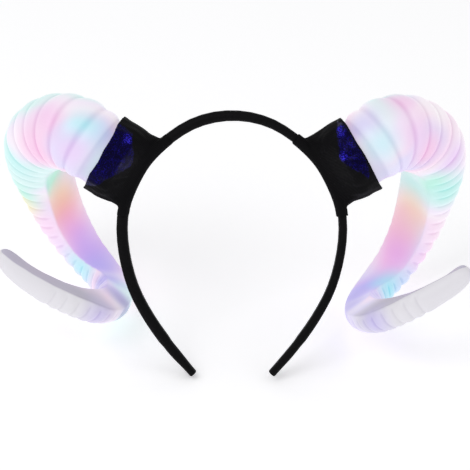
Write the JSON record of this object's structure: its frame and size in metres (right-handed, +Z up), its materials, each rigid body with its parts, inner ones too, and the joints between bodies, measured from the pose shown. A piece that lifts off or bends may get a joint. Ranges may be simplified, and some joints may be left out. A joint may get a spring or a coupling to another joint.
{
  "type": "ram horns headband",
  "caption": "Curled, ribbed ram horns held in cloth sleeves on a slim ribbon-covered headband, resting leaned back on the band's ends and the horns' curls.",
  "frame": {"origin": "middle of the bounding box's bottom face, on the surface it rests on", "axes": "+X across the head from one horn to the other, +Y towards the back of the head, +Z up; the band leans back as it rests on its ends and on the curls of the horns"},
  "size_m": [0.2798, 0.127, 0.1535],
  "materials": {
    "ribbon": "black satin ribbon",
    "sleeve_cloth": "black cloth with a dark blue foil patch",
    "horn_plastic": "soft translucent white moulding, lit from inside in pastel colours"
  },
  "bodies": {
    "root": {"headband": "ribbon", "sleeve_left": "sleeve_cloth", "horn_left": "horn_plastic", "sleeve_right": "sleeve_cloth", "horn_right": "horn_plastic"}
  },
  "joints": []
}
